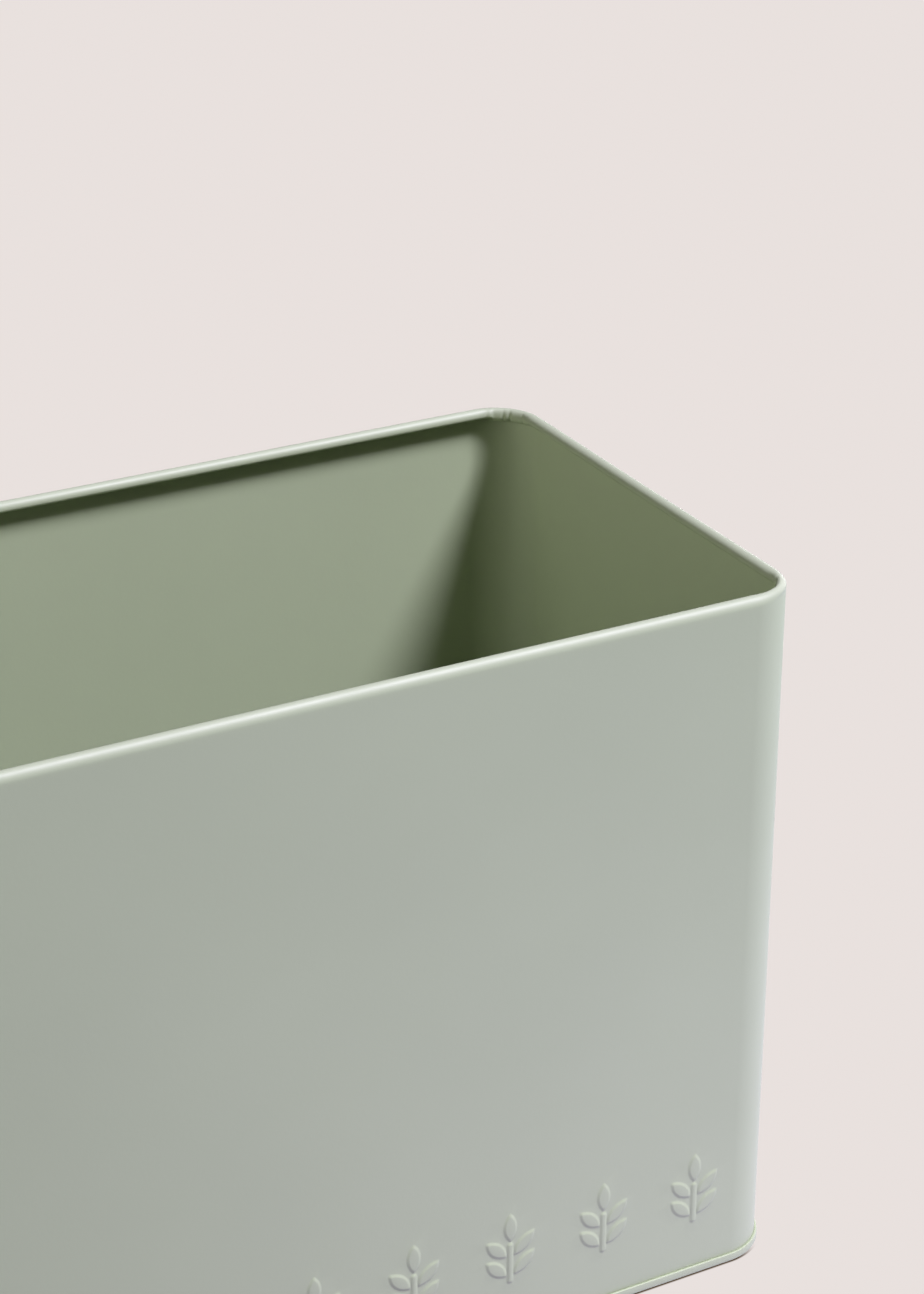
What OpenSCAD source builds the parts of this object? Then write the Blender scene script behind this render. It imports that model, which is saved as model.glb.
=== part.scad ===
// Bread bin: an open rectangular bin of thin painted sheet steel.
// Two sheets make it. The wall is one strip, bent round four upright corners, with its top edge
// rolled inward. The base is a shallow pan whose rim is folded together with the wall's lower edge
// into a double seam. Origin: centre of the footprint, on the surface the bin stands on.
// +X to the right, +Y to the back, +Z up, millimetres.

/* [Body] */
// Width over the walls, left to right
body_w = 330; // [240:5:420]
// Depth over the walls, front to back
body_d = 180; // [140:5:240]
// Height from the standing surface to the top of the rolled rim
body_h = 240; // [120:5:320]
// Outside radius of the four upright corners
corner_r = 18; // [15:1:40]
// Thickness of the sheet steel
sheet_t = 0.3; // [0.25:0.05:0.4]

/* [Rolled rim] */
// Outside radius of the shoulder, where the wall starts to turn inward
shoulder_r = 3.1; // [2.4:0.1:4]
// How far the shoulder turns before the roll tightens, degrees
shoulder_turn = 52; // [30:1:60]
// Outside radius of the roll's top and inner side
rim_r = 2.1; // [1.8:0.1:2.3]
// Straight stretch on the inner side of the roll
rim_leg = 0.2; // [0.1:0.1:3]
// Outside radius of the curl at the sheet's edge
curl_r = 1.1; // [0.8:0.1:1.5]

/* [Bottom seam] */
// Height of the double seam
seam_h = 2.8; // [2.5:0.1:4]
// Play between the folded layers
fold_gap = 0.02; // [0.02:0.01:0.04]
// Outside bend radius at the foot of the seam
foot_r = 0.5; // [0.45:0.05:0.6]

/* [Base] */
// Height of the base panel's rim zone above the standing surface
panel_z = 4.2; // [4:0.2:8]
// Inside bend radius between the panel and its upright edge
panel_bend_r = 1.2; // [0.4:0.1:2]
// Distance from the wall to the stiffening step in the panel
step_inset = 14; // [6:1:14]
// Rise of the panel inside the stiffening step
step_rise = 1.2; // [0.6:0.1:2]

/* [Side seam] */
// Overlap of the wall strip's two ends, at the middle of the left wall
lap_w = 6; // [4:1:12]

/* [Raised marks] */
// Number of wheat ears pressed out of the front
ear_count = 5; // [1:1:6]
// Height of one ear
ear_h = 26; // [20:1:34]
// Height of the ears' feet above the standing surface
ear_z = 20.5; // [12:0.5:40]
// Distance between neighbouring ears
ear_pitch = 34; // [26:1:34]
// Distance from the last ear's middle to the right wall
ear_from_right = 33; // [33:1:60]
// How far the ears stand out of the front
ear_raise = 0.4; // [0.4:0.1:0.8]

/* [Display] */
// Which piece to show

/* [Hidden] */
$fn = 64;
paint = [0.66, 0.70, 0.62];

// Larger than any bend, for the wedges that cut parts out of rings
beyond = 10;
// How far the cuts in the panel reach past its faces
past = 1;

// Rolled rim: the shoulder, the roll that carries on from it, the straight leg and the curl
tighter = shoulder_r - rim_r;
rim_x = tighter * cos(shoulder_turn) - shoulder_r;      // middle of the roll
rim_z = body_h - rim_r;
shoulder_z = rim_z - tighter * sin(shoulder_turn);      // where the wall starts to turn
rim_in = rim_x - rim_r;                                 // the roll's inner side
curl_z = rim_z - rim_leg;

// Double seam, counted outward from the wall's outer face: cover hook, body hook, seaming wall
layer = sheet_t + fold_gap;
hook_r = sheet_t + fold_gap + sheet_t / 2;      // outside radius round one layer and its play
cover_hook_x = layer - sheet_t / 2;             // middle of the cover hook
body_hook_x = cover_hook_x + layer;             // middle of the body hook
seam_out = 3 * layer;                           // the seam's outer face
chuck_in = layer + sheet_t;                     // the chuck wall's inner face, inside the wall
body_bend_z = layer + hook_r;                   // middle of the wall's bend round the cover hook
cover_bend_z = seam_h - hook_r;                 // middle of the cover's bend round the body hook
hook_play = 0.06;                               // clearance at the end of each hook

// The lap stops this far short of the seam's bends below and of the roll above
lap_end = 1;
lap_low_z = panel_z + sheet_t + lap_end;
lap_high_z = curl_z - curl_r - lap_end;

// Wheat ear, in shares of its height
grain_l = 0.385 * ear_h;
grain_w = 0.165 * ear_h;
grain_pairs = 2;
grain_tilt = 45;                                // degrees from upright
grain_out = 0.19 * ear_h;                       // from the stem's middle to a grain's middle
grain_foot = 0.25 * ear_h;                      // height of the lowest pair's middle
grain_step = 0.285 * ear_h;
stem_w = 0.07 * ear_h;
stem_l = 0.58 * ear_h;

// A bend in the sheet: the part of a ring between two directions, in degrees
module bend(outer_r, from, to) {
    middle = (from + to) / 2;
    intersection() {
        difference() {
            circle(r = outer_r);
            circle(r = outer_r - sheet_t);
        }
        polygon([
            [0, 0],
            beyond * [cos(from), sin(from)],
            2 * beyond * [cos(middle), sin(middle)],
            beyond * [cos(to), sin(to)]
        ]);
    }
}

// An upright layer of sheet: x is its middle, from one height to another
module upright(x, z_low, z_high) {
    translate([x - sheet_t / 2, z_low])
        square([sheet_t, z_high - z_low]);
}

// A level layer of sheet with its underside at z
module level(x_low, x_high, z) {
    translate([x_low, z])
        square([x_high - x_low, sheet_t]);
}

// Carries a section round the body. In the section x = 0 is the wall's outer face, +x points
// out of the bin, and y is the height.
module round_the_body() {
    for (turn = [0 : 3]) {
        ends = turn % 2 == 0;
        out = (ends ? body_w : body_d) / 2;
        side = (ends ? body_d : body_w) / 2;
        rotate([0, 0, 90 * turn]) {
            translate([out, 0, 0])
                rotate([90, 0, 0])
                    linear_extrude(height = 2 * (side - corner_r), center = true)
                        children();
            translate([out - corner_r, side - corner_r, 0])
                rotate_extrude(angle = 90)
                    translate([corner_r, 0])
                        children();
        }
    }
}

// A plate that fills the body's rounded outline, drawn in from the walls by inset
module plate(inset, z_low, z_high) {
    r = corner_r - inset;
    w = body_w - 2 * inset;
    d = body_d - 2 * inset;
    translate([0, 0, z_low])
        linear_extrude(height = z_high - z_low)
            union() {
                square([w - 2 * r, d], center = true);
                square([w, d - 2 * r], center = true);
                for (x = [-1, 1], y = [-1, 1])
                    translate([x * (w / 2 - r), y * (d / 2 - r)])
                        circle(r = r);
            }
}

// Section of the wall strip, from the body hook up to the rolled rim
module wall_section() {
    upright(body_hook_x, body_bend_z, cover_bend_z - hook_play);
    translate([cover_hook_x, body_bend_z])
        bend(hook_r, 180, 360);
    upright(-sheet_t / 2, body_bend_z, shoulder_z);
    translate([-shoulder_r, shoulder_z])
        bend(shoulder_r, 0, shoulder_turn);
    translate([rim_x, rim_z])
        bend(rim_r, shoulder_turn, 180);
    upright(rim_in + sheet_t / 2, curl_z, rim_z);
    translate([rim_in + curl_r, curl_z])
        bend(curl_r, 180, 360);
}

// Section of the base pan's rim, from the cover hook round the foot and up to the panel
module seam_section() {
    upright(cover_hook_x, body_bend_z + hook_play, cover_bend_z);
    translate([body_hook_x, cover_bend_z])
        bend(hook_r, 0, 180);
    upright(seam_out - sheet_t / 2, foot_r, cover_bend_z);
    translate([seam_out - foot_r, foot_r])
        bend(foot_r, -90, 0);
    level(foot_r - chuck_in, seam_out - foot_r, 0);
    translate([foot_r - chuck_in, foot_r])
        bend(foot_r, 180, 270);
    upright(sheet_t / 2 - chuck_in, foot_r, panel_z - panel_bend_r);
    translate([-chuck_in - panel_bend_r, panel_z - panel_bend_r])
        bend(panel_bend_r + sheet_t, 0, 90);
}

// Outline of one grain: where two equal circles overlap. It is drawn in all round by inset.
module grain_outline(inset) {
    r = (pow(grain_l, 2) + pow(grain_w, 2)) / (4 * grain_w);
    intersection() {
        translate([r - grain_w / 2, 0])
            circle(r = r - inset);
        translate([grain_w / 2 - r, 0])
            circle(r = r - inset);
    }
}

// Outline of a wheat ear standing on y = 0, drawn in all round by inset
module ear_outline(inset) {
    translate([inset - stem_w / 2, stem_w / 2])
        square([stem_w - 2 * inset, stem_l - stem_w]);
    for (z = [stem_w / 2, stem_l - stem_w / 2])
        translate([0, z])
            circle(r = stem_w / 2 - inset);
    translate([0, ear_h - grain_l / 2])
        grain_outline(inset);
    for (pair = [0 : grain_pairs - 1], side = [-1, 1])
        translate([side * grain_out, grain_foot + pair * grain_step])
            rotate(-side * grain_tilt)
                grain_outline(inset);
}

// Every ear as a block, from out_y to in_y, both counted inward from the front's outer face
module ears(inset, out_y, in_y) {
    for (i = [0 : ear_count - 1])
        translate([body_w / 2 - ear_from_right - i * ear_pitch, in_y - body_d / 2, ear_z])
            rotate([90, 0, 0])
                linear_extrude(height = in_y - out_y)
                    ear_outline(inset);
}

// Second layer of sheet where the strip's ends overlap and are welded
module side_lap() {
    translate([sheet_t - body_w / 2, -lap_w / 2, lap_low_z])
        cube([sheet_t, lap_w, lap_high_z - lap_low_z]);
}

module wall_sheet() {
    color(paint)
        difference() {
            union() {
                round_the_body()
                    wall_section();
                ears(0, -ear_raise, sheet_t / 2);
                side_lap();
            }
            ears(sheet_t, sheet_t - ear_raise, 2 * sheet_t);
        }
}

module base_pan() {
    color(paint) {
        round_the_body()
            seam_section();
        difference() {
            plate(chuck_in + panel_bend_r, panel_z, panel_z + sheet_t);
            plate(step_inset + sheet_t, panel_z - past, panel_z + sheet_t + past);
        }
        difference() {
            plate(step_inset, panel_z, panel_z + step_rise + sheet_t);
            plate(step_inset + sheet_t, panel_z - past, panel_z + step_rise);
        }
    }
}

wall_sheet();
base_pan();
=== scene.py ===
"""Bread bin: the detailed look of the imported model.

Both sheets are drawn again from the folds that the CAD parts have: a fold path gives the sheet's
section, and the section is carried round the body. Onto that come the things that a formed sheet
has and a clean solid doesn't: soft edges on the pressed ears, metal gathered where the rolled rim
turns a corner, a lapped side seam, and walls that aren't quite flat. Sizes are in millimetres up
to the point where a mesh, a lamp or the camera is made.
"""

import math

import bpy
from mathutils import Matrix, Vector, noise
from mathutils.geometry import delaunay_2d_cdt


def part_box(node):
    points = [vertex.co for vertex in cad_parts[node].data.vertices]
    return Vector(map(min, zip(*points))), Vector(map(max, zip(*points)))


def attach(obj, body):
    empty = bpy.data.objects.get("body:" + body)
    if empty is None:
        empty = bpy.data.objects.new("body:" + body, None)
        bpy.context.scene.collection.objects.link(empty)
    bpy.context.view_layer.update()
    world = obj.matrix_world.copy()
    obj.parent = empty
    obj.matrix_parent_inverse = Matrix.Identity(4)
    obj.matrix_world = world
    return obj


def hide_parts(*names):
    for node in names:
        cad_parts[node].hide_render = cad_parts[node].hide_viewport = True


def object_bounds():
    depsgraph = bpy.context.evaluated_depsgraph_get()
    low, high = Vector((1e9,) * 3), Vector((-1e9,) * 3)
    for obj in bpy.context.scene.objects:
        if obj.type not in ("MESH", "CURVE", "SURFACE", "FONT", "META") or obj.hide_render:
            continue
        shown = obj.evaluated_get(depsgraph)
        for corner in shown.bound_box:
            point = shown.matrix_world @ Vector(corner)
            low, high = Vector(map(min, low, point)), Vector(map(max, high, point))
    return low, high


MM = 0.001
CLOSE = 1e-6  # lengths that differ by less are the same

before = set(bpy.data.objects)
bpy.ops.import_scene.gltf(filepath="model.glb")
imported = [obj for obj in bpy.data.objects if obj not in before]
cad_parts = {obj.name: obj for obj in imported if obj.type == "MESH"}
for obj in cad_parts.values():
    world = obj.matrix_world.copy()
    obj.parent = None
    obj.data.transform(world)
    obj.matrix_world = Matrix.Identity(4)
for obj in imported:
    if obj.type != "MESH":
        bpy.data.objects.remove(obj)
cad_low, cad_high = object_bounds()

# The sheet and its folds, as in the CAD source
SHEET = 0.3
FOLD_GAP = 0.02
LAYER = SHEET + FOLD_GAP
HOOK_R = SHEET + FOLD_GAP + SHEET / 2
COVER_HOOK = LAYER - SHEET / 2
BODY_HOOK = COVER_HOOK + LAYER
SEAM_OUT = 3 * LAYER
SEAM_H = 2.8
CHUCK_IN = LAYER + SHEET
BODY_BEND_Z = LAYER + HOOK_R
COVER_BEND_Z = SEAM_H - HOOK_R
HOOK_PLAY = 0.06
FOOT_R = 0.5

# The rolled rim tightens as it goes: a wide shoulder, the roll's top and inner side, then the curl
SHOULDER_R = 3.1
SHOULDER_TURN = 52.0
RIM_R = 2.1
RIM_LEG = 0.2
CURL_R = 1.1

PANEL_Z = 4.2
PANEL_BEND_R = 1.2
STEP_INSET = 14.0
STEP_RISE = 1.2

# The body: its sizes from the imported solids, and the radius of its corners as in the CAD source
_, pan_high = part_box("base_pan")
HALF_W = pan_high.x / MM - SEAM_OUT
HALF_D = pan_high.y / MM - SEAM_OUT
BODY_H = round(cad_high.z / MM, 1)
CORNER_R = 18.0
ROLL_RISE = RIM_R + (SHOULDER_R - RIM_R) * math.sin(math.radians(SHOULDER_TURN))
ROLL_Z = BODY_H - ROLL_RISE

# The four sides in the order in which a section is carried round them
RIGHT, BACK, LEFT, FRONT = range(4)


def smooth(low, high, value):
    """0 below low, 1 above high, and an even blend between them."""
    t = min(1.0, max(0.0, (value - low) / (high - low)))
    return t * t * (3 - 2 * t)


def bell(value, middle, width):
    """1 at the middle, and near 0 past twice the width."""
    return math.exp(-(((value - middle) / width) ** 2))


# ---------------------------------------------------------------- folds and sections


class Fold:
    """The middle line of a folded sheet: x points out of the bin, z up, headings in degrees."""

    def __init__(self, x, z, heading):
        self.x, self.z, self.heading = x, z, heading
        self.points = [(x, z, heading)]

    def run(self, length, stops=()):
        """Straight on, with extra points at these distances."""
        a = math.radians(self.heading)
        for s in (*stops, length):
            self.points.append((self.x + s * math.cos(a), self.z + s * math.sin(a), self.heading))
        self.x, self.z, _ = self.points[-1]

    def bend(self, radius, degrees, steps):
        """Turns left through degrees, or right when they are negative."""
        sign = math.copysign(1, degrees)
        a = math.radians(self.heading)
        cx = self.x - sign * radius * math.sin(a)
        cz = self.z + sign * radius * math.cos(a)
        for i in range(1, steps + 1):
            b = a + math.radians(degrees) * i / steps
            x = cx + sign * radius * math.sin(b)
            z = cz - sign * radius * math.cos(b)
            self.points.append((x, z, math.degrees(b)))
        self.x, self.z, _ = self.points[-1]
        self.heading += degrees

    def sides(self):
        """The sheet's left and right faces along the path, as (x, z) lists."""
        left, right = [], []
        for x, z, heading in self.points:
            a = math.radians(heading)
            nx, nz = -math.sin(a) * SHEET / 2, math.cos(a) * SHEET / 2
            left.append((x + nx, z + nz))
            right.append((x - nx, z - nz))
        return left, right


class Station:
    """One place round the body: a point on the wall's outer face and the way out of the bin."""

    def __init__(self, turn, at, angle):
        self.turn, self.at, self.angle = turn, at, angle
        reach, half = (HALF_W, HALF_D) if turn % 2 == 0 else (HALF_D, HALF_W)
        c, s = ((1, 0), (0, 1), (-1, 0), (0, -1))[turn]
        if angle is None:
            x, y, nx, ny = reach, at, 1.0, 0.0
        else:
            nx, ny = math.cos(math.radians(angle)), math.sin(math.radians(angle))
            x, y = reach - CORNER_R + CORNER_R * nx, half - CORNER_R + CORNER_R * ny
        self.x, self.y = x * c - y * s, x * s + y * c
        self.nx, self.ny = nx * c - ny * s, nx * s + ny * c

    def point(self, out, z):
        """The point this far out from the wall's outer face, at height z."""
        return (self.x + self.nx * out, self.y + self.ny * out, z)


def flat_half(turn):
    """Half the length of a side's flat stretch."""
    return (HALF_D if turn % 2 == 0 else HALF_W) - CORNER_R


def stations(side_stops, corner_steps):
    """Places round the body. side_stops(turn) lists the places along a side from its middle."""
    places = []
    for turn in range(4):
        places += [Station(turn, at, None) for at in side_stops(turn)]
        for i in range(1, corner_steps):
            places.append(Station(turn, None, 90 * i / corner_steps))
    return places


def even(low, high, count):
    """Both ends and the stops that cut the stretch between them into count equal parts."""
    return [low + (high - low) * i / count for i in range(count + 1)]


def make_piece(name, points, faces, material, node):
    """A mesh object from millimetre points, riding on the body and standing for a CAD node."""
    mesh = bpy.data.meshes.new(name)
    mesh.from_pydata([tuple(MM * v for v in p) for p in points], [], faces)
    mesh.validate()
    mesh.polygons.foreach_set("use_smooth", [True] * len(mesh.polygons))
    mesh.materials.append(material)
    piece = bpy.data.objects.new(name, mesh)
    bpy.context.scene.collection.objects.link(piece)
    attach(piece, "root")
    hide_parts(node)
    return piece


class Weld:
    """Points that are shared when they fall in the same place."""

    def __init__(self):
        self.points, self.index = [], {}

    def add(self, p):
        key = tuple(round(v, 4) for v in p)
        if key not in self.index:
            self.index[key] = len(self.points)
            self.points.append(p)
        return self.index[key]


def tidy_face(corners):
    """The face without repeated corners, or None when under three are left."""
    kept = [c for i, c in enumerate(corners) if c != corners[i - 1]]
    return kept if len(set(kept)) == len(kept) and len(kept) > 2 else None


# ---------------------------------------------------------------- pressed wheat ears

EAR_COUNT = 5
EAR_H = 26.0
EAR_FOOT_Z = 20.5
EAR_PITCH = 34.0
EAR_FROM_RIGHT = 33.0
EAR_RAISE = 0.4
GRAIN_L = 0.385 * EAR_H
GRAIN_W = 0.165 * EAR_H
GRAIN_TILT = 45
GRAIN_OUT = 0.19 * EAR_H
GRAIN_FOOT = 0.25 * EAR_H
GRAIN_STEP = 0.285 * EAR_H
GRAIN_PAIRS = 2
STEM_W = 0.07 * EAR_H
STEM_L = 0.58 * EAR_H

# The pressed edge: from how far outside the outline it starts to how far inside it ends, and the
# shares of that stretch where the mesh has an edge loop
EDGE_OUT = 0.6
EDGE_IN = 0.7
EDGE_STOPS = (0.0, 0.14, 0.32, 0.5, 0.68, 0.86, 1.0)
ARC_STEPS = 14
STEM_LOOP = 0.8  # an edge loop is drawn in by no more than this share of the stem's half width


class Grain:
    """A pointed oval, where two equal circles overlap."""

    def __init__(self, x, z, tilt):
        self.x, self.z = x, z
        self.c, self.s = math.cos(math.radians(tilt)), math.sin(math.radians(tilt))
        self.r = (GRAIN_L**2 + GRAIN_W**2) / (4 * GRAIN_W)
        self.off = self.r - GRAIN_W / 2

    def depth(self, x, z):
        """How far inside the outline a point is."""
        u, v = x - self.x, z - self.z
        u, v = u * self.c - v * self.s, u * self.s + v * self.c
        return self.r - max(math.hypot(u + self.off, v), math.hypot(u - self.off, v))

    def loop(self, inset):
        """The outline drawn in by inset."""
        r = self.r - inset
        half = math.acos(self.off / r)
        arc = [half * (2 * i / ARC_STEPS - 1) for i in range(ARC_STEPS)]
        flat = [(r * math.cos(a) - self.off, r * math.sin(a)) for a in arc]
        flat += [(-u, -v) for u, v in flat]
        return [
            (self.x + u * self.c + v * self.s, self.z - u * self.s + v * self.c) for u, v in flat
        ]


class Stem:
    """An upright bar with round ends."""

    def __init__(self, x, z):
        self.x, self.low, self.high = x, z + STEM_W / 2, z + STEM_L - STEM_W / 2

    def depth(self, x, z):
        nearest = min(self.high, max(self.low, z))
        return STEM_W / 2 - math.hypot(x - self.x, z - nearest)

    def loop(self, inset):
        r = STEM_W / 2 - min(inset, STEM_LOOP * STEM_W / 2)
        steps = ARC_STEPS // 2
        arc = [math.pi * i / steps for i in range(steps + 1)]
        top = [(self.x + r * math.cos(a), self.high + r * math.sin(a)) for a in arc]
        foot = [(self.x - r * math.cos(a), self.low - r * math.sin(a)) for a in arc]
        return top + foot


def ear_shapes():
    """Every grain and stem on the front, placed as in the CAD source."""
    shapes = []
    for i in range(EAR_COUNT):
        x = HALF_W - EAR_FROM_RIGHT - i * EAR_PITCH
        shapes.append(Stem(x, EAR_FOOT_Z))
        shapes.append(Grain(x, EAR_FOOT_Z + EAR_H - GRAIN_L / 2, 0))
        for pair in range(GRAIN_PAIRS):
            z = EAR_FOOT_Z + GRAIN_FOOT + pair * GRAIN_STEP
            shapes += [Grain(x + side * GRAIN_OUT, z, side * GRAIN_TILT) for side in (-1, 1)]
    return shapes


SHAPES = ear_shapes()


def relief(x, z):
    """How far the front is pressed out at a point."""
    deepest = max(shape.depth(x, z) for shape in SHAPES)
    return EAR_RAISE * smooth(-EDGE_OUT, EDGE_IN, deepest)


# ---------------------------------------------------------------- what forming does to the wall

WAVE = 0.16  # how far the walls wander from flat
WAVE_LENGTH = 75.0
WAVE_ABOVE_FOOT = (3, 40)  # from no wandering to all of it, above the foot and below the rim
WAVE_BELOW_RIM = (2, 45)
BOW = 0.45  # how far a long side is drawn in at its middle
BOW_AT_FOOT = 0.25  # the share of that at the foot

# The side seam: a groove outside, and inside a second layer with a sharp edge
LAP_W = 6.0
LAP_GROOVE = 0.3
LAP_GROOVE_W = 0.5
LAP_EDGE = 0.1
LAP_ABOVE_FOOT = (5, 6)
LAP_BELOW_RIM = (6, 7)

# Along the roll, from 0 where it starts to 1 at the sheet's edge: where its inner side and then
# its underside set in, where the shoulder swells and ends, and where the curl begins
INSIDE = (0.28, 0.68)
UNDER = (0.5, 0.92)
SWELL = (0.0, 0.2)
SWELL_END = (0.68, 0.42)
CURL = 0.7

# What follows is given for each corner, in the order right, back, left, front of the sides that
# lead into it. Angles are in degrees from the start of the corner.
# Pleats in the rolled rim: (angle, width, depth), and the share of the depth on the inner side
PLEATS = (
    ((50.5, 1.6, 0.42), (41.5, 2.2, 0.75), (21.5, 1.8, 0.5), (57.0, 3.0, -0.12)),
    ((70.0, 2.0, 0.5), (52.0, 2.4, 0.6), (33.0, 1.7, 0.45), (25.0, 1.5, 0.25)),
    ((64.0, 2.2, 0.6), (45.0, 1.6, 0.4), (30.0, 2.2, 0.55), (16.0, 1.4, 0.3)),
    ((60.0, 5.0, 0.3), (38.0, 6.0, 0.4), (12.0, 3.0, 0.3), (50.0, 1.4, 0.15)),
)
PLEAT_INSIDE = 0.55
# The metal is pinched between two angles: it starts softly and ends in a step with a flare past it
PINCH = ((14.0, 66.0), (20.0, 78.0), (12.0, 72.0), (6.0, 64.0))
PINCH_START = (-12, 4)
PINCH_STEP = 0.8
PINCH_IN = 0.2
PINCH_DROP = 1.2
FLARE = 0.22
FLARE_PAST = 3.5
FLARE_W = 3.0
# How much narrower the roll is in a corner, and over what angle that comes and goes
SQUEEZE = (0.4, 0.4, 0.4, 1.05)
SQUEEZE_TURN = 24
BULGE = (0.0, 0.3, 0.3, 0.6)  # how far the shoulder swells out at the middle of a corner
CURL_CLEAR = 0.45  # the curl's edge stays this far inside the wall's outer face


def wander(x, y, z):
    """Slow unevenness of the sheet, fading out where folds hold it straight."""
    hold = smooth(*WAVE_ABOVE_FOOT, z) * smooth(*WAVE_BELOW_RIM, BODY_H - z)
    return hold * WAVE * noise.noise(Vector((x, y, z)) / WAVE_LENGTH)


def draw_in(place, z):
    """How far a side is drawn in between its corners."""
    if place.angle is not None:
        return 0.0
    share = 1 - (place.at / flat_half(place.turn)) ** 2
    size = flat_half(place.turn) / flat_half(FRONT)
    return -BOW * size * share * share * (BOW_AT_FOOT + (1 - BOW_AT_FOOT) * z / BODY_H)


def lap(place, inner, z):
    """The lapped ends of the strip on the left side: a groove outside and a band inside."""
    if place.turn != LEFT or place.angle is not None:
        return 0.0
    if inner:
        hold = smooth(*LAP_ABOVE_FOOT, z) * smooth(*LAP_BELOW_RIM, BODY_H - z)
        edge = smooth(LAP_W / 2 + LAP_EDGE, LAP_W / 2 - LAP_EDGE, abs(place.at))
        return -SHEET * hold * edge
    return -LAP_GROOVE * bell(place.at, LAP_W / 2, LAP_GROOVE_W)


def gather(place, along):
    """How far outward and upward the rolled rim is shifted in a corner, along the roll."""
    if place.angle is None:
        return 0.0, 0.0
    a = place.angle
    low, high = PINCH[place.turn]
    inside = smooth(*INSIDE, along)
    under = smooth(*UNDER, along)
    starts = smooth(low + PINCH_START[0], low + PINCH_START[1], a)
    pinch = starts * smooth(high + PINCH_STEP, high - PINCH_STEP, a)
    flare = -FLARE * bell(a, high + FLARE_PAST, FLARE_W) * inside
    middle = math.sin(math.radians(2 * a))
    swell = BULGE[place.turn] * middle**2 * smooth(*SWELL, along) * smooth(*SWELL_END, along)
    narrow = SQUEEZE[place.turn] * smooth(0, SQUEEZE_TURN, a) * smooth(90, 90 - SQUEEZE_TURN, a)
    out = flare + swell + (PINCH_IN * pinch + narrow) * inside
    for at, width, depth in PLEATS[place.turn]:
        out += depth * bell(a, at, width) * inside * (PLEAT_INSIDE + (1 - PLEAT_INSIDE) * under)
    return out, -PINCH_DROP * pinch * under


def wall_point(place, out, z, along, inner):
    """A point of the wall's section, moved as forming moves it. along is below 0 under the roll."""
    x, y, _ = place.point(0.0, z)
    shift = wander(x, y, z) + draw_in(place, z)
    if along < 0:
        shift += lap(place, inner, z)
        return place.point(out + shift, z)
    dx, dz = gather(place, along)
    moved = out + dx
    if along > CURL:
        moved = min(moved, max(out, -CURL_CLEAR))
    return place.point(moved + shift, z + dz)


# ---------------------------------------------------------------- the two sheets

# The part of the front that is meshed to fit the ears, the heights of the wall's edge loops, and
# how many parts each bend is drawn in
PATCH_LOW_X = -20.0
PATCH_Z = (16.0, 22.0, 28.0, 34.0, 40.0, 46.0, 52.0)
CLEAR_OF_EARS = 1.0
TRIANGLES = 0  # what delaunay_2d_cdt is asked for: triangles over the whole outline
SNAP = 1e-5  # for delaunay_2d_cdt, points nearer than this are one
WALL_Z = (3.4, 5.0, 6.0, 8.0, 11.0, *PATCH_Z, 66.0, 84.0, 104.0, 124.0, 144.0, 164.0, 184.0, 202.0,
          216.0, 226.0, 231.0, 233.0, 234.0, 236.0)
CORNER_STEPS = 64
BODY_HOOK_STEPS = 8
SHOULDER_STEPS = 8
TOP_STEPS = 14
CURL_STEPS = 10
# How many parts each side is cut into: the front left of the patch and along it, the right, the
# back, and the left on each side of its lap. Near the lap's two edges the cuts are these far off.
FRONT_PARTS, PATCH_PARTS = 20, 27
RIGHT_PARTS, BACK_PARTS, LEFT_PARTS = 24, 48, 11
AT_GROOVE = (-1.2, -0.7, -0.35, -0.1, 0.1, 0.35, 0.7, 1.2)
AT_OTHER_EDGE = (-0.6, -0.1, 0.1, 0.6)
PAST_LAP = 4.0


def wall_stops(turn):
    """Places along each side, close together where the side seam and the ears need them."""
    flat = flat_half(turn)
    if turn == FRONT:
        return even(-flat, PATCH_LOW_X, FRONT_PARTS)[:-1] + even(PATCH_LOW_X, flat, PATCH_PARTS)
    if turn != LEFT:
        return even(-flat, flat, RIGHT_PARTS if turn == RIGHT else BACK_PARTS)
    half = LAP_W / 2
    past = half + PAST_LAP
    lap_stops = [-half + d for d in AT_OTHER_EDGE] + [0.0] + [half + d for d in AT_GROOVE]
    return even(-flat, -past, LEFT_PARTS) + lap_stops + even(past, flat, LEFT_PARTS)


def wall_fold():
    """The wall strip's path, from the body hook up to the rolled edge, with where the roll starts."""
    path = Fold(BODY_HOOK, COVER_BEND_Z - HOOK_PLAY, -90)
    path.run(COVER_BEND_Z - HOOK_PLAY - BODY_BEND_Z)
    path.bend(HOOK_R - SHEET / 2, -180, BODY_HOOK_STEPS)
    path.run(ROLL_Z - BODY_BEND_Z, [z - BODY_BEND_Z for z in WALL_Z])
    roll_start = len(path.points) - 1
    path.bend(SHOULDER_R - SHEET / 2, SHOULDER_TURN, SHOULDER_STEPS)
    path.bend(RIM_R - SHEET / 2, 180 - SHOULDER_TURN, TOP_STEPS)
    path.run(RIM_LEG)
    path.bend(CURL_R - SHEET / 2, 180, CURL_STEPS)
    return path, roll_start


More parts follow.
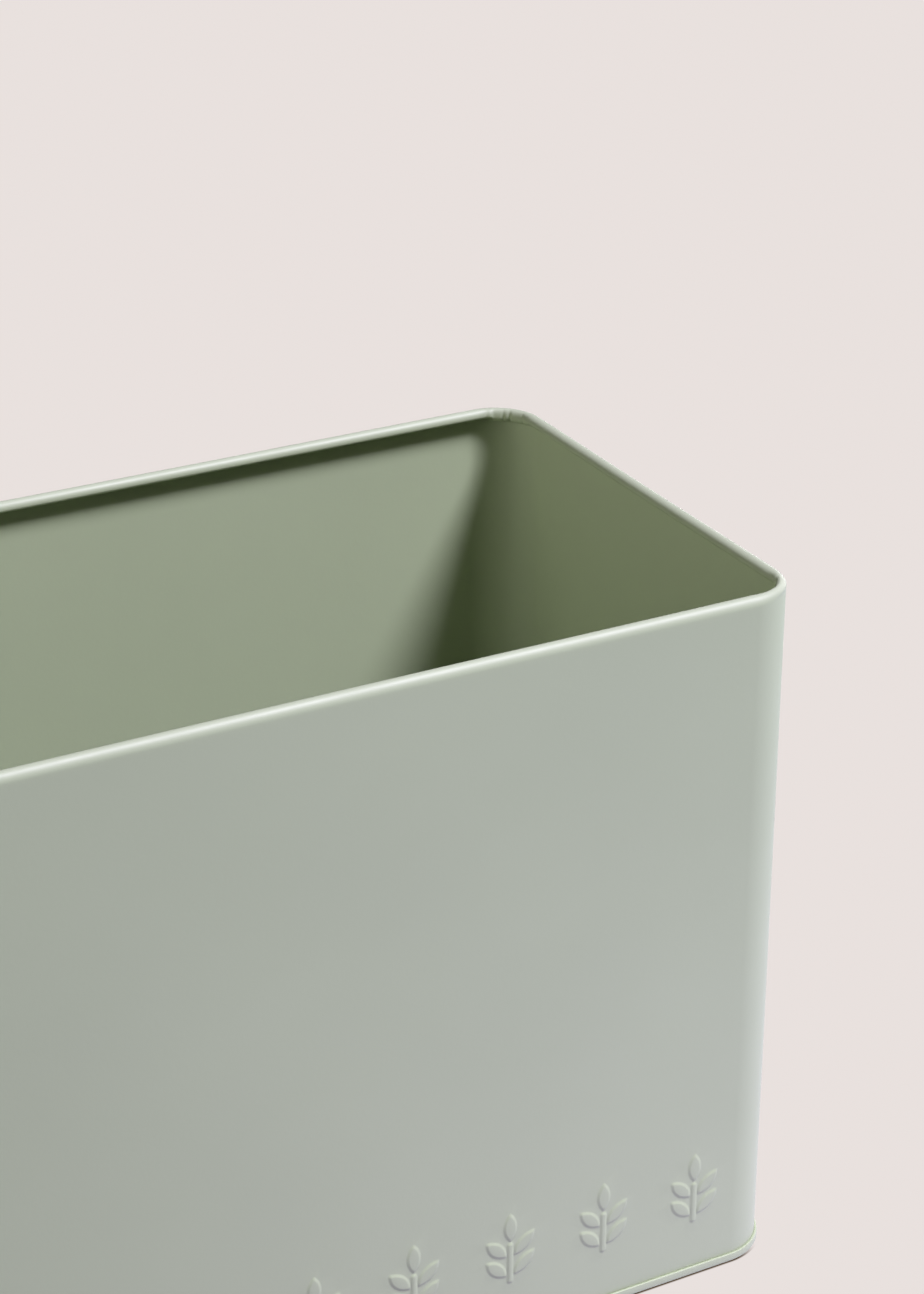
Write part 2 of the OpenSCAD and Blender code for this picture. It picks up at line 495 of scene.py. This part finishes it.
def patch(weld, place_at, out, inner):
    """The part of the front with the ears, meshed so that edges follow their outlines."""
    xs = [x for x in wall_stops(FRONT) if x >= PATCH_LOW_X - CLOSE]
    zs = PATCH_Z
    rim = [(x, zs[0]) for x in xs] + [(xs[-1], z) for z in zs[1:]]
    rim += [(x, zs[-1]) for x in reversed(xs[:-1])] + [(xs[0], z) for z in reversed(zs[1:-1])]
    points = list(rim)
    edges = [(i, (i + 1) % len(rim)) for i in range(len(rim))]
    for shape in SHAPES:
        for stop in EDGE_STOPS:
            loop = shape.loop(-EDGE_OUT + stop * (EDGE_OUT + EDGE_IN))
            edges += [(len(points) + i, len(points) + (i + 1) % len(loop)) for i in range(len(loop))]
            points += loop
    clear = -EDGE_OUT - CLEAR_OF_EARS
    for x in xs[1:-1]:
        for z in zs[1:-1]:
            if max(shape.depth(x, z) for shape in SHAPES) < clear:
                points.append((x, z))
    flat = [Vector(p) for p in points]
    found, _, faces, *_ = delaunay_2d_cdt(flat, edges, [], TRIANGLES, SNAP, False)
    made = []
    for v in found:
        place = place_at(v.x)
        raised = out + relief(v.x, v.y)
        made.append(weld.add(wall_point(place, raised, v.y, -1, inner)))
    return [[made[i] for i in (reversed(f) if inner else f)] for f in faces]


def wall_sheet_mesh():
    """Points and faces of the wall strip: its section carried round, and the patch with the ears.

    ring lists the section's points all round the sheet, as (out, height, place on the path, inner).
    """
    path, roll_start = wall_fold()
    left, right = path.sides()
    last = len(path.points) - 1
    ring = [(x, z, i, False) for i, (x, z) in enumerate(right)]
    ring += [(x, z, i, True) for i, (x, z) in reversed(list(enumerate(left)))]
    places = stations(wall_stops, CORNER_STEPS)
    weld = Weld()
    rows = []
    for place in places:
        row = []
        for x, z, i, inner in ring:
            along = (i - roll_start) / (last - roll_start) if i > roll_start else -1
            row.append(weld.add(wall_point(place, x, z, along, inner)))
        rows.append(row)
    faces = []
    count, size = len(places), len(ring)
    low_z, high_z = PATCH_Z[0] - CLOSE, PATCH_Z[-1] + CLOSE
    for i in range(count):
        here, there = places[i], places[(i + 1) % count]
        ears_here = (
            here.turn == FRONT and here.angle is None and there.angle is None
            and there.turn == FRONT and here.at >= PATCH_LOW_X - CLOSE
        )
        for j in range(size):
            k = (j + 1) % size
            x0, z0, _, _ = ring[j]
            x1, z1, _, _ = ring[k]
            on_wall = abs(x0 - x1) < CLOSE and x0 < CLOSE
            if ears_here and on_wall and min(z0, z1) > low_z and max(z0, z1) < high_z:
                continue
            near, far = rows[i], rows[(i + 1) % count]
            face = tidy_face((near[j], far[j], far[k], near[k]))
            if face:
                faces.append(face)

    def place_at(x):
        return Station(FRONT, x, None)

    faces += patch(weld, place_at, 0.0, False)
    faces += patch(weld, place_at, -SHEET, True)
    return weld.points, faces


HOOK_STEPS = 10
FOOT_STEPS = 6
PANEL_BEND_STEPS = 8
STEP_STEPS = 5
PAN_CORNER_STEPS = 24
# The step in the panel: the middle radius of its two bends, how steep it is, and the distance of
# the first edge loop past it
STEP_R = 0.8
STEP_TURN = 60.0
PAST_STEP = 1.0
# The seam as rolling leaves it: leaning in from just above the foot's bend, nearly flat on top, with
# a tight outer edge there and a groove at the wall
SEAM_LEAN_FROM = 0.15
SEAM_LEAN = 0.1
TOP_EDGE_R = 0.32
GROOVE_X = 0.03
GROOVE_DEPTH = 0.08
# The panel's middle stands proud of flat by SAG, give or take SAG_WAVE. It begins beyond the seam.
SAG = 0.25
SAG_WAVE = 0.3
SAG_LENGTH = 60
SAG_SLICE = 7.0  # the height at which the panel's unevenness is read from the noise
SAG_ABOVE = (3, 5)
SAG_INWARD = (-2.5, -9)


def pan_fold():
    """The base pan's path, from the cover hook round the foot and over the step in the panel."""
    path = Fold(COVER_HOOK, BODY_BEND_Z + HOOK_PLAY, 90)
    path.run(COVER_BEND_Z - BODY_BEND_Z - HOOK_PLAY)
    path.bend(HOOK_R - SHEET / 2, -180, HOOK_STEPS)
    path.run(COVER_BEND_Z - FOOT_R, [COVER_BEND_Z - FOOT_R - SEAM_LEAN_FROM])
    path.bend(FOOT_R - SHEET / 2, -90, FOOT_STEPS)
    path.run(SEAM_OUT + CHUCK_IN - 2 * FOOT_R)
    path.bend(FOOT_R - SHEET / 2, -90, FOOT_STEPS)
    path.run(PANEL_Z - PANEL_BEND_R - FOOT_R)
    path.bend(PANEL_BEND_R + SHEET / 2, 90, PANEL_BEND_STEPS)
    lean = math.radians(STEP_TURN)
    ramp = (STEP_RISE - 2 * STEP_R * (1 - math.cos(lean))) / math.sin(lean)
    path.run(path.x + STEP_INSET - STEP_R)
    path.bend(STEP_R, -STEP_TURN, STEP_STEPS)
    path.run(ramp)
    path.bend(STEP_R, STEP_TURN, STEP_STEPS)
    path.run(path.x + CORNER_R, [PAST_STEP])
    return path


PAN_END_PARTS, PAN_SIDE_PARTS = 16, 32


def pan_stops(turn):
    """Places along each side of the pan, which are also the lines of the grid in its middle."""
    flat = flat_half(turn)
    return even(-flat, flat, PAN_END_PARTS if turn % 2 == 0 else PAN_SIDE_PARTS)


def base_pan_mesh():
    """Points and faces of the pan: its section carried round, and a grid across the middle."""
    path = pan_fold()
    left, right = path.sides()
    # The outside of the hook's bend, from the wall outward: first the flat top, then its edge. The
    # path's first two points are the ends of the cover hook.
    half = HOOK_STEPS // 2
    for i in range(half):
        t = i / half
        left[2 + i] = (GROOVE_X + t * (BODY_HOOK - GROOVE_X), SEAM_H - GROOVE_DEPTH * (1 - t) ** 2)
        a = math.radians(90) * (1 - t)
        x = SEAM_OUT - SEAM_LEAN - TOP_EDGE_R * (1 - math.cos(a))
        left[2 + half + i] = (x, SEAM_H - TOP_EDGE_R * (1 - math.sin(a)))
    places = stations(pan_stops, PAN_CORNER_STEPS)
    weld = Weld()

    def sag(x, y, z):
        """The panel's middle stands a little proud, unevenly."""
        share = (1 - (x / HALF_W) ** 2) * (1 - (y / HALF_D) ** 2)
        uneven = noise.noise(Vector((x, y, SAG_SLICE)) / SAG_LENGTH)
        return smooth(*SAG_ABOVE, z) * share * (SAG + SAG_WAVE * uneven)

    def put(place, x, z):
        px, py, _ = place.point(x, z)
        deep = smooth(*SAG_INWARD, x)
        return weld.add((px, py, z + deep * sag(px, py, z)))

    ring = list(right) + list(reversed(left))
    rows = [[put(place, x, z) for x, z in ring] for place in places]
    faces = []
    count, size = len(places), len(ring)
    inner_end = len(right) - 1
    for i in range(count):
        for j in range(size):
            k = (j + 1) % size
            if j == inner_end:
                continue
            here, there = rows[i], rows[(i + 1) % count]
            face = tidy_face((here[j], there[j], there[k], here[k]))
            if face:
                faces.append(face)
    xs, ys = pan_stops(FRONT), pan_stops(RIGHT)
    for (_, z), upward in ((right[-1], True), (left[-1], False)):
        grid = [[weld.add((x, y, z + sag(x, y, z))) for y in ys] for x in xs]
        for i in range(len(xs) - 1):
            for j in range(len(ys) - 1):
                f = [grid[i][j], grid[i + 1][j], grid[i + 1][j + 1], grid[i][j + 1]]
                faces.append(f if upward else f[::-1])
    return weld.points, faces


# ---------------------------------------------------------------- materials

SAGE = (0.385, 0.443, 0.297)
PALE_SAGE = (0.372, 0.414, 0.310)
PAN_SAGE = (0.366, 0.418, 0.287)
# The heights between which the coat on the rolled rim turns from the wall's colour to the pale one
PALE_FROM = BODY_H - 2.8
PALE_TO = BODY_H - 0.8
SPECULAR = 0.55
GLOSS = (0.50, 0.56)  # roughness, from the glossiest patches to the dullest
SHADE = (0.985, 1.015)  # share of the colour's value, from the darkest patches to the palest
NOISE_SPAN = (0.3, 0.7)  # the part of the noise's range that nearly all of it falls in


def node(tree, kind, **inputs):
    """A new node with its inputs set. An underscore in a name stands for a space."""
    made = tree.nodes.new(kind)
    for name, value in inputs.items():
        made.inputs[name.replace("_", " ")].default_value = value
    return made


def powder_coat(name, color, edge_color):
    """Satin powder coat on steel: faint orange peel, a fine grain, slow shade and gloss changes.

    It has edge_color, a greyer colour, on top of the rolled rim.
    """
    mat = bpy.data.materials.new(name)
    mat.use_nodes = True
    tree = mat.node_tree
    tree.nodes.clear()
    out = tree.nodes.new("ShaderNodeOutputMaterial")
    shader = node(tree, "ShaderNodeBsdfPrincipled", Metallic=0.0, IOR=1.5, Specular_IOR_Level=SPECULAR)
    tree.links.new(shader.outputs["BSDF"], out.inputs["Surface"])
    where = tree.nodes.new("ShaderNodeTexCoord")

    def field(scale, detail, rough=0.5):
        made = node(tree, "ShaderNodeTexNoise", Scale=scale, Detail=detail, Roughness=rough)
        tree.links.new(where.outputs["Object"], made.inputs["Vector"])
        return made.outputs["Fac"]

    def ranged(source, low, high):
        made = node(tree, "ShaderNodeMapRange", To_Min=low, To_Max=high)
        made.inputs["From Min"].default_value, made.inputs["From Max"].default_value = NOISE_SPAN
        tree.links.new(source, made.inputs["Value"])
        return made.outputs["Result"]

    height = tree.nodes.new("ShaderNodeSeparateXYZ")
    tree.links.new(where.outputs["Object"], height.inputs["Vector"])
    edge = node(tree, "ShaderNodeMapRange", From_Min=PALE_FROM * MM, From_Max=PALE_TO * MM)
    tree.links.new(height.outputs["Z"], edge.inputs["Value"])
    coat = node(tree, "ShaderNodeMixRGB", Color1=(*color, 1.0), Color2=(*edge_color, 1.0))
    tree.links.new(edge.outputs["Result"], coat.inputs["Fac"])
    shade = tree.nodes.new("ShaderNodeHueSaturation")
    tree.links.new(coat.outputs["Color"], shade.inputs["Color"])
    tree.links.new(ranged(field(scale=14.0, detail=3.0), *SHADE), shade.inputs["Value"])
    tree.links.new(shade.outputs["Color"], shader.inputs["Base Color"])

    tree.links.new(ranged(field(scale=60.0, detail=4.0), *GLOSS), shader.inputs["Roughness"])

    peel = node(tree, "ShaderNodeBump", Strength=0.06, Distance=0.0004)
    tree.links.new(field(scale=650.0, detail=2.0), peel.inputs["Height"])
    grain = node(tree, "ShaderNodeBump", Strength=0.05, Distance=0.0001)
    tree.links.new(field(scale=4200.0, detail=1.0), grain.inputs["Height"])
    tree.links.new(peel.outputs["Normal"], grain.inputs["Normal"])
    tree.links.new(grain.outputs["Normal"], shader.inputs["Normal"])
    return mat


# ---------------------------------------------------------------- camera, floor and light

scene = bpy.context.scene
scene.view_settings.view_transform = "Standard"

SENSOR = 36.0
FAR = 30.0
CAMERA_LENS = 83.93
CAMERA_AT = (-316.7, -765.1, 610.3)
CAMERA_YAW = 28.30
CAMERA_PITCH = 25.377

camera_data = bpy.data.cameras.new("camera")
camera_data.lens = CAMERA_LENS
camera_data.sensor_width = SENSOR
camera_data.clip_end = FAR
camera = bpy.data.objects.new("camera", camera_data)
scene.collection.objects.link(camera)
camera.location = [v * MM for v in CAMERA_AT]
camera.rotation_euler = (math.radians(90 - CAMERA_PITCH), 0, math.radians(-CAMERA_YAW))
scene.camera = camera

# Floor and glow sizes and places are in metres
FLOOR_HALF = 30.0
FLOOR = (0.812, 0.752, 0.730)
# Light that the floor throws on the bin: a broad rise towards the right, a pool in front of it and
# a weaker one to its right
FLOOR_GLOW = (0.262, 0.360, 0.422)
GLOW_FROM, GLOW_TO = -0.5, 0.7
FLOOR_POOL = (0.92, 0.73, 1.20)
POOL_AT = (0.25, -0.35, 0.0)
POOL_NEAR, POOL_FAR = 0.1, 0.75
FLOOR_SIDE = (0.40, 0.36, 0.50)
SIDE_AT = (0.5, 0.15, 0.0)
SIDE_NEAR, SIDE_FAR = 0.2, 0.7
# A painted contact shadow: the dark line where the foot meets the floor, painted into the colour that the
# camera sees. It fades where the key light reaches under the foot
CONTACT_SHADOW = (0.085, 0.055, 0.02)
CONTACT_SHADOW_W = 0.85
FADE_X = (0.149, 0.160)


def make_floor():
    """A plain floor. The camera sees an even colour with a painted contact shadow round the foot; the bin
    gets the light of the glow and pools.
    """
    half = FLOOR_HALF
    mesh = bpy.data.meshes.new("floor")
    mesh.from_pydata(
        [(-half, -half, 0), (half, -half, 0), (half, half, 0), (-half, half, 0)], [], [(0, 1, 2, 3)]
    )
    floor = bpy.data.objects.new("floor", mesh)
    scene.collection.objects.link(floor)
    mat = bpy.data.materials.new("floor_paper")
    mat.use_nodes = True
    tree = mat.node_tree
    tree.nodes.clear()
    where = tree.nodes.new("ShaderNodeTexCoord").outputs["Object"]

    def vector(operation, first, second=None):
        made = tree.nodes.new("ShaderNodeVectorMath")
        made.operation = operation
        tree.links.new(first, made.inputs[0])
        if second is not None:
            made.inputs[1].default_value = second
        return made

    def rise(source, low, high, at_low, at_high):
        made = node(tree, "ShaderNodeMapRange", From_Min=low, From_Max=high, To_Min=at_low, To_Max=at_high)
        made.interpolation_type = "SMOOTHSTEP"
        tree.links.new(source, made.inputs["Value"])
        return made.outputs["Result"]

    # Distance from the line that the foot's rounded outline is drawn round
    corner = (SEAM_OUT + CORNER_R) * MM
    straight = (HALF_W * MM + SEAM_OUT * MM - corner, HALF_D * MM + SEAM_OUT * MM - corner, 0.0)
    side = vector("SUBTRACT", vector("ABSOLUTE", where).outputs["Vector"], straight)
    away = vector("LENGTH", vector("MAXIMUM", side.outputs["Vector"], (0, 0, 0)).outputs["Vector"])
    split = tree.nodes.new("ShaderNodeSeparateXYZ")
    tree.links.new(where, split.inputs["Vector"])
    # open_floor is 1 where the painted contact shadow has faded out, past its width or past FADE_X
    open_floor = tree.nodes.new("ShaderNodeMath")
    open_floor.operation = "MAXIMUM"
    tree.links.new(rise(split.outputs["X"], *FADE_X, 0, 1), open_floor.inputs[0])
    tree.links.new(
        rise(away.outputs["Value"], corner, corner + CONTACT_SHADOW_W * MM, 0, 1), open_floor.inputs[1]
    )
    # The floor's colour as the camera sees it, with the painted contact shadow near the foot
    painted_contact_shadow = tree.nodes.new("ShaderNodeMixRGB")
    painted_contact_shadow.inputs["Color1"].default_value = (*CONTACT_SHADOW, 1)
    painted_contact_shadow.inputs["Color2"].default_value = (*FLOOR, 1)
    tree.links.new(open_floor.outputs["Value"], painted_contact_shadow.inputs["Fac"])
    seen = tree.nodes.new("ShaderNodeEmission")
    tree.links.new(painted_contact_shadow.outputs["Color"], seen.inputs["Color"])

    glow = node(tree, "ShaderNodeEmission", Color=(*FLOOR_GLOW, 1))
    tree.links.new(rise(split.outputs["X"], GLOW_FROM, GLOW_TO, 0, 1), glow.inputs["Strength"])
    thrown = glow
    for color, at, near, far in (
        (FLOOR_POOL, POOL_AT, POOL_NEAR, POOL_FAR), (FLOOR_SIDE, SIDE_AT, SIDE_NEAR, SIDE_FAR)
    ):
        pool = node(tree, "ShaderNodeEmission", Color=(*color, 1))
        apart = vector("DISTANCE", where, at)
        tree.links.new(rise(apart.outputs["Value"], near, far, 1, 0), pool.inputs["Strength"])
        both = tree.nodes.new("ShaderNodeAddShader")
        tree.links.new(thrown.outputs[0], both.inputs[0])
        tree.links.new(pool.outputs["Emission"], both.inputs[1])
        thrown = both

    rays = tree.nodes.new("ShaderNodeLightPath")
    mix = tree.nodes.new("ShaderNodeMixShader")
    tree.links.new(rays.outputs["Is Camera Ray"], mix.inputs["Fac"])
    tree.links.new(thrown.outputs[0], mix.inputs[1])
    tree.links.new(seen.outputs["Emission"], mix.inputs[2])
    out = tree.nodes.new("ShaderNodeOutputMaterial")
    tree.links.new(mix.outputs["Shader"], out.inputs["Surface"])
    mesh.materials.append(mat)


# Soft boxes: name, shape, size, place, watts, colour. All face a point a little above the bin's
# middle.
LIGHTS = (
    ("key", "DISK", 1.1, (1.60, -1.52, 3.44), 294.0, (0.90, 0.865, 1.0)),
    ("left", "SQUARE", 1.5, (-2.38, -0.24, 0.86), 25.0, (1.0, 0.975, 0.865)),
    ("right", "SQUARE", 0.8, (1.10, 0.50, 0.30), 6.0, (1.0, 0.93, 1.0)),
)
LIGHT_TARGET = Vector((0, 0, 0.15))


def make_light():
    """The soft boxes, and beyond the floor's edge a backdrop that only the camera sees."""
    world = bpy.data.worlds.new("studio")
    scene.world = world
    world.use_nodes = True
    back = world.node_tree.nodes["Background"]
    back.inputs["Color"].default_value = (*FLOOR, 1)
    rays = world.node_tree.nodes.new("ShaderNodeLightPath")
    world.node_tree.links.new(rays.outputs["Is Camera Ray"], back.inputs["Strength"])
    for name, shape, size, place, watts, color in LIGHTS:
        data = bpy.data.lights.new(name, "AREA")
        data.shape = shape
        data.size = size
        data.energy = watts
        data.color = color
        lamp = bpy.data.objects.new(name, data)
        scene.collection.objects.link(lamp)
        lamp.location = place
        lamp.rotation_mode = "QUATERNION"
        toward = (lamp.location - LIGHT_TARGET).normalized()
        lamp.rotation_quaternion = toward.to_track_quat("Z", "Y")


# ---------------------------------------------------------------- build

wall_mat = powder_coat("wall_powder_coat", SAGE, PALE_SAGE)
pan_mat = powder_coat("pan_powder_coat", PAN_SAGE, PAN_SAGE)

points, faces = wall_sheet_mesh()
make_piece("wall_sheet_formed", points, faces, wall_mat, "wall_sheet")
points, faces = base_pan_mesh()
make_piece("base_pan_formed", points, faces, pan_mat, "base_pan")

make_floor()
make_light()
